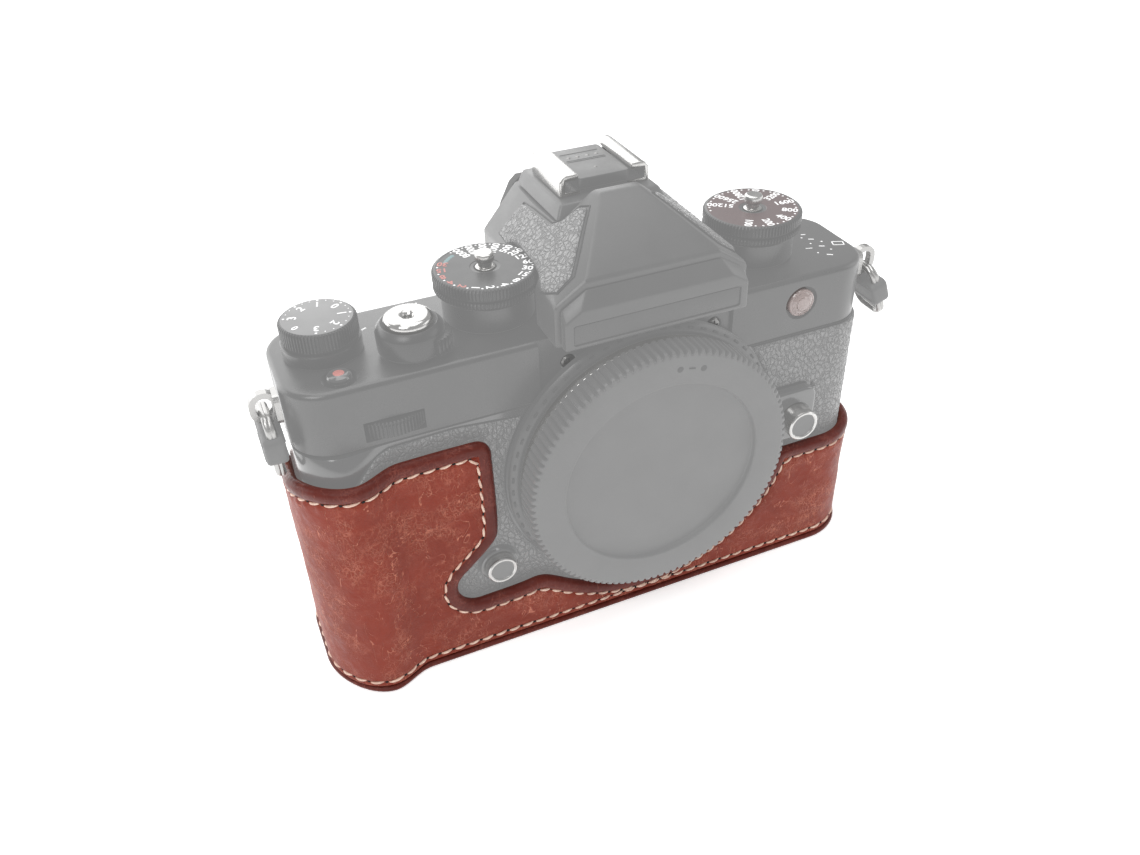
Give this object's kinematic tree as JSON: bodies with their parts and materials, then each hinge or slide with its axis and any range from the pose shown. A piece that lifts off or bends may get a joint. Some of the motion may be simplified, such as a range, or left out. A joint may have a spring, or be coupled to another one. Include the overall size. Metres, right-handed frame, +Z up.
{
  "type": "half frame camera",
  "caption": "Interchangeable-lens camera with angular finder hump, top dials and capped lens mount, standing in a stitched leather half case.",
  "frame": {"origin": "on the underside of the half case, midway between the two ends of the camera body", "axes": "+X to the right of someone facing the camera's front, +Y from the camera's front to its back, +Z up"},
  "size_m": [0.1523, 0.0563, 0.106],
  "materials": {
    "leather": "semi-gloss pull-up leather, reddish brown with a pale crackle grain",
    "black_metal": "satin paint",
    "leatherette": "pebble grain",
    "dark_plastic": "fine matte",
    "bright_metal": "satin chrome",
    "dark_metal": "anodised",
    "rubber": "smooth matte",
    "clear": "polished",
    "screen_glass": "polished",
    "sensor": "coated",
    "board": "solder mask"
  },
  "bodies": {
    "case_and_camera": {"case_shell": "leather", "case_base": "leather", "body_casting": "black_metal", "base_plate": "black_metal", "release_housing": "black_metal", "function_collar": "black_metal", "top_cover": "black_metal", "viewfinder_housing": "black_metal", "nose_panel": "black_metal", "shoe_base": "black_metal", "lens_bezel": "black_metal", "eyepiece_frame": "black_metal", "leatherette_grip_side": "leatherette", "leatherette_lens_side": "leatherette", "hump_leatherette_left": "leatherette", "hump_leatherette_right": "leatherette", "battery": "dark_plastic", "tripod_bush": "bright_metal", "hot_shoe": "bright_metal", "lens_mount": "bright_metal", "strap_lug_left": "bright_metal", "strap_lug_right": "bright_metal", "front_screw_left": "dark_metal", "front_screw_right": "dark_metal", "shoe_contact_plate": "dark_metal", "shutter_unit": "dark_metal", "hinge_bracket": "dark_metal", "eyecup": "rubber", "assist_lamp": "clear", "eyepiece_lens": "clear", "image_sensor": "sensor", "circuit_board": "board"},
    "case_screw": {"case_screw": "bright_metal"},
    "shutter_dial": {"shutter_dial": "black_metal"},
    "shutter_dial_lock": {"shutter_dial_lock": "bright_metal"},
    "photo_video_lever": {"photo_video_lever": "black_metal"},
    "iso_dial": {"iso_dial": "black_metal"},
    "iso_dial_lock": {"iso_dial_lock": "bright_metal"},
    "mode_lever": {"mode_lever": "black_metal"},
    "exposure_dial": {"exposure_dial": "black_metal"},
    "shutter_button": {"shutter_button": "bright_metal"},
    "power_lever": {"power_lever": "black_metal"},
    "movie_button": {"movie_button": "black_metal"},
    "front_command_wheel": {"front_command_wheel": "black_metal"},
    "rear_command_wheel": {"rear_command_wheel": "black_metal"},
    "lens_release_button": {"lens_release_button": "bright_metal"},
    "function_button": {"function_button": "bright_metal"},
    "playback_button": {"playback_button": "dark_plastic"},
    "exposure_lock_button": {"exposure_lock_button": "dark_plastic"},
    "direction_pad": {"direction_pad": "dark_plastic"},
    "confirm_button": {"confirm_button": "dark_plastic"},
    "body_cap": {"body_cap": "dark_plastic"},
    "screen": {"screen_hinge": "dark_metal", "screen_frame": "dark_plastic", "screen_glass": "screen_glass"},
    "strap_ring_left": {"strap_ring_left": "bright_metal", "ring_guard_left": "rubber"},
    "strap_ring_right": {"strap_ring_right": "bright_metal", "ring_guard_right": "rubber"}
  },
  "joints": [
    {"name": "case_screw_turn", "type": "hinge", "parent": "case_and_camera", "child": "case_screw", "pos_m": [0.008, -0.001, 0.0005], "axis": [0, 0, 1], "continuous": true},
    {"name": "shutter_dial_turn", "type": "hinge", "parent": "case_and_camera", "child": "shutter_dial", "pos_m": [-0.0212, 0.0006, 0.089], "axis": [0, 0, 1], "continuous": true},
    {"name": "shutter_dial_lock_press", "type": "slide", "parent": "shutter_dial", "child": "shutter_dial_lock", "axis": [0, 0, -1], "range_m": [0, 0.0015], "stiffness_N_per_m": 250},
    {"name": "photo_video_lever_turn", "type": "hinge", "parent": "case_and_camera", "child": "photo_video_lever", "pos_m": [-0.0212, 0.0006, 0.083], "axis": [0, 0, 1], "range_deg": [0, 40]},
    {"name": "iso_dial_turn", "type": "hinge", "parent": "case_and_camera", "child": "iso_dial", "pos_m": [0.0442, 0.0004, 0.089], "axis": [0, 0, 1], "continuous": true},
    {"name": "iso_dial_lock_press", "type": "slide", "parent": "iso_dial", "child": "iso_dial_lock", "axis": [0, 0, -1], "range_m": [0, 0.0015], "stiffness_N_per_m": 250},
    {"name": "mode_lever_turn", "type": "hinge", "parent": "case_and_camera", "child": "mode_lever", "pos_m": [0.0442, 0.0004, 0.083], "axis": [0, 0, 1], "range_deg": [-40, 30]},
    {"name": "exposure_dial_turn", "type": "hinge", "parent": "case_and_camera", "child": "exposure_dial", "pos_m": [-0.0574, 0.0009, 0.084], "axis": [0, 0, 1], "continuous": true},
    {"name": "shutter_button_press", "type": "slide", "parent": "case_and_camera", "child": "shutter_button", "axis": [0, 0, -1], "range_m": [0, 0.0015], "stiffness_N_per_m": 250},
    {"name": "power_lever_turn", "type": "hinge", "parent": "case_and_camera", "child": "power_lever", "pos_m": [-0.0407, -0.0072, 0.083], "axis": [0, 0, 1], "range_deg": [0, 35]},
    {"name": "movie_button_press", "type": "slide", "parent": "case_and_camera", "child": "movie_button", "axis": [0, 0, -1], "range_m": [0, 0.0006], "stiffness_N_per_m": 250},
    {"name": "front_command_wheel_turn", "type": "hinge", "parent": "case_and_camera", "child": "front_command_wheel", "pos_m": [-0.0482, -0.0083, 0.0686], "axis": [0, 0, 1], "continuous": true},
    {"name": "rear_command_wheel_turn", "type": "hinge", "parent": "case_and_camera", "child": "rear_command_wheel", "pos_m": [-0.058, 0.008, 0.0686], "axis": [0, 0, 1], "continuous": true},
    {"name": "lens_release_button_press", "type": "slide", "parent": "case_and_camera", "child": "lens_release_button", "axis": [0, 1, 0], "range_m": [0, 0.0015], "stiffness_N_per_m": 250},
    {"name": "function_button_press", "type": "slide", "parent": "case_and_camera", "child": "function_button", "axis": [0, 1, 0], "range_m": [0, 0.001], "stiffness_N_per_m": 250},
    {"name": "playback_button_press", "type": "slide", "parent": "case_and_camera", "child": "playback_button", "axis": [0, -1, 0], "range_m": [0, 0.0007], "stiffness_N_per_m": 250},
    {"name": "exposure_lock_button_press", "type": "slide", "parent": "case_and_camera", "child": "exposure_lock_button", "axis": [0, -1, 0], "range_m": [0, 0.0008], "stiffness_N_per_m": 250},
    {"name": "direction_pad_rock", "type": "hinge", "parent": "case_and_camera", "child": "direction_pad", "pos_m": [-0.0455, 0.0136, 0.0365], "axis": [1, 0, 0], "range_deg": [-3, 3], "stiffness_Nm_per_rad": 0.05},
    {"name": "confirm_button_press", "type": "slide", "parent": "case_and_camera", "child": "confirm_button", "axis": [0, -1, 0], "range_m": [0, 0.0008], "stiffness_N_per_m": 250},
    {"name": "body_cap_twist", "type": "hinge", "parent": "case_and_camera", "child": "body_cap", "pos_m": [0.008, -0.024, 0.0444], "axis": [0, -1, 0], "range_deg": [0, 60]},
    {"name": "screen_swing", "type": "hinge", "parent": "case_and_camera", "child": "screen", "pos_m": [0.0646, 0.0174, 0.037], "axis": [0, 0, -1], "range_deg": [0, 180]},
    {"name": "strap_ring_left_swing", "type": "hinge", "parent": "case_and_camera", "child": "strap_ring_left", "pos_m": [-0.072, -0.0072, 0.07385], "axis": [0, 1, 0], "range_deg": [0, 95]},
    {"name": "strap_ring_right_swing", "type": "hinge", "parent": "case_and_camera", "child": "strap_ring_right", "pos_m": [0.072, -0.0072, 0.07385], "axis": [0, 1, 0], "range_deg": [-75, 18]}
  ]
}
